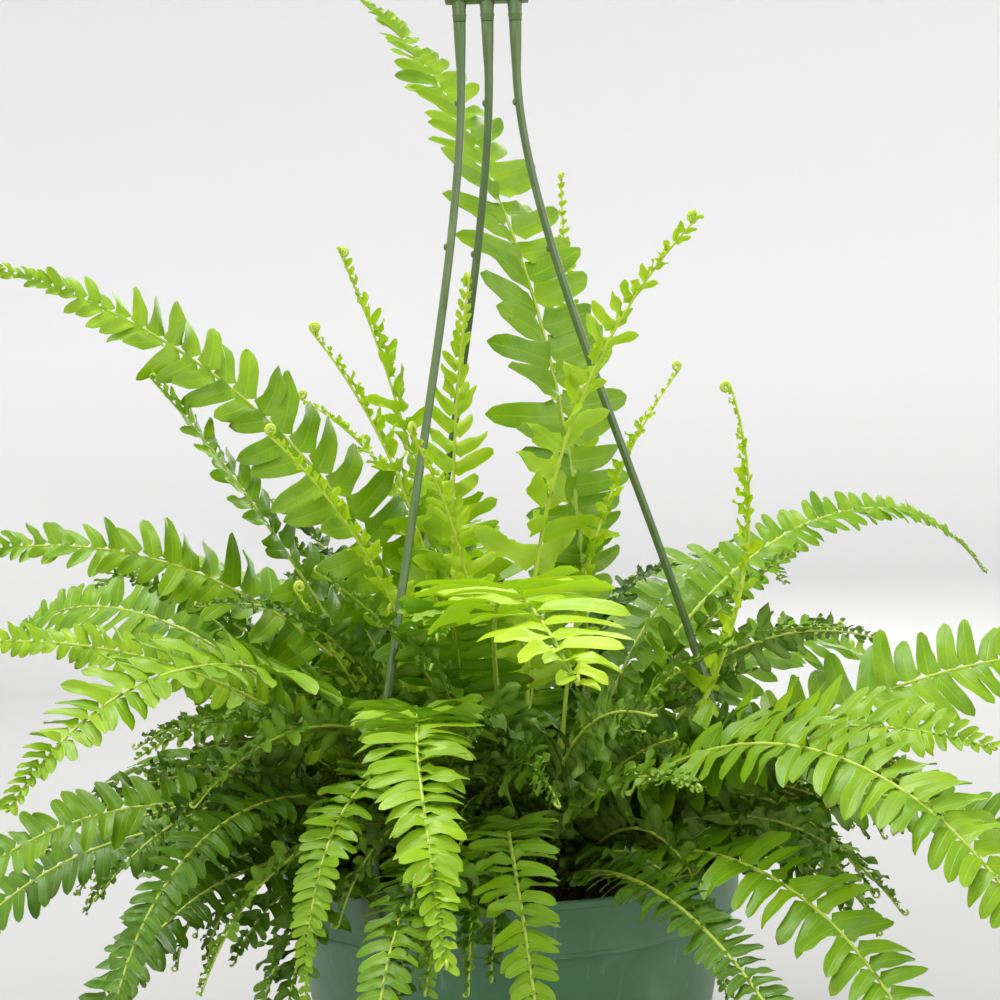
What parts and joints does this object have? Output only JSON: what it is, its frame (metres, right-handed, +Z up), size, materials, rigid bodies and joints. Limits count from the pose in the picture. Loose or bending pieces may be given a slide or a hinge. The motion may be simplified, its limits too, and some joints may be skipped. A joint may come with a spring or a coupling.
{
  "type": "potted fern",
  "caption": "Sword fern with long arching feather-like fronds in a round tapered plastic nursery pot, with a moulded hanger whose strands clip to the rim and meet under a hook.",
  "frame": {"origin": "centre of the flat underside of the pot, where it stands", "axes": "+Z up along the pot's axis; -Y is the front of the plant, +X its right seen from the front"},
  "size_m": [0.5937, 0.5743, 0.5756],
  "materials": {
    "pot_plastic": "satin moulded green plastic",
    "hanger_plastic": "satin moulded dark green plastic",
    "potting_mix": "loose dark peat and bark",
    "rhizome": "rough scaly rhizome",
    "leaf": "soft satin green leaf",
    "inner_leaf": "soft satin dark green leaf",
    "young_leaf": "soft pale yellow-green young leaf"
  },
  "bodies": {
    "root": {"pot": "pot_plastic", "soil": "potting_mix", "crown": "rhizome", "hanger_header": "hanger_plastic", "hanger_strand_front": "hanger_plastic", "hanger_strand_right": "hanger_plastic", "hanger_strand_back": "hanger_plastic", "frond_back_tall": "leaf", "frond_top_left": "leaf", "frond_top_left_low": "inner_leaf", "frond_left_high": "leaf", "frond_left_back": "leaf", "frond_left_near": "leaf", "frond_left_low": "inner_leaf", "frond_left_drop": "leaf", "frond_left_under": "leaf", "frond_left_shadow": "leaf", "frond_front": "leaf", "frond_front_left": "leaf", "frond_front_under": "leaf", "frond_front_right": "leaf", "frond_front_bright": "leaf", "frond_front_inner": "inner_leaf", "frond_right_big": "leaf", "frond_right_near": "leaf", "frond_right_drop": "leaf", "frond_right_under": "leaf", "frond_right_high": "leaf", "frond_right_back": "leaf", "frond_right_edge": "leaf", "young_right_front": "young_leaf", "young_middle": "young_leaf", "young_back": "young_leaf", "young_right_back": "young_leaf", "young_right": "young_leaf", "young_left_tall": "young_leaf", "young_left": "young_leaf", "young_left_back": "young_leaf", "young_left_front": "young_leaf", "young_centre": "young_leaf", "young_left_small": "young_leaf", "young_small": "young_leaf", "frond_back_1": "leaf", "frond_back_2": "leaf", "frond_back_3": "leaf", "frond_back_4": "leaf", "frond_back_5": "leaf", "frond_back_low_1": "inner_leaf", "frond_back_low_2": "inner_leaf", "frond_back_low_3": "inner_leaf", "frond_back_low_4": "inner_leaf", "frond_back_low_5": "inner_leaf", "frond_back_low_6": "inner_leaf", "frond_right_low": "inner_leaf", "frond_left_side": "leaf", "frond_inner_1": "inner_leaf", "frond_inner_2": "inner_leaf", "frond_inner_3": "inner_leaf"}
  },
  "joints": []
}
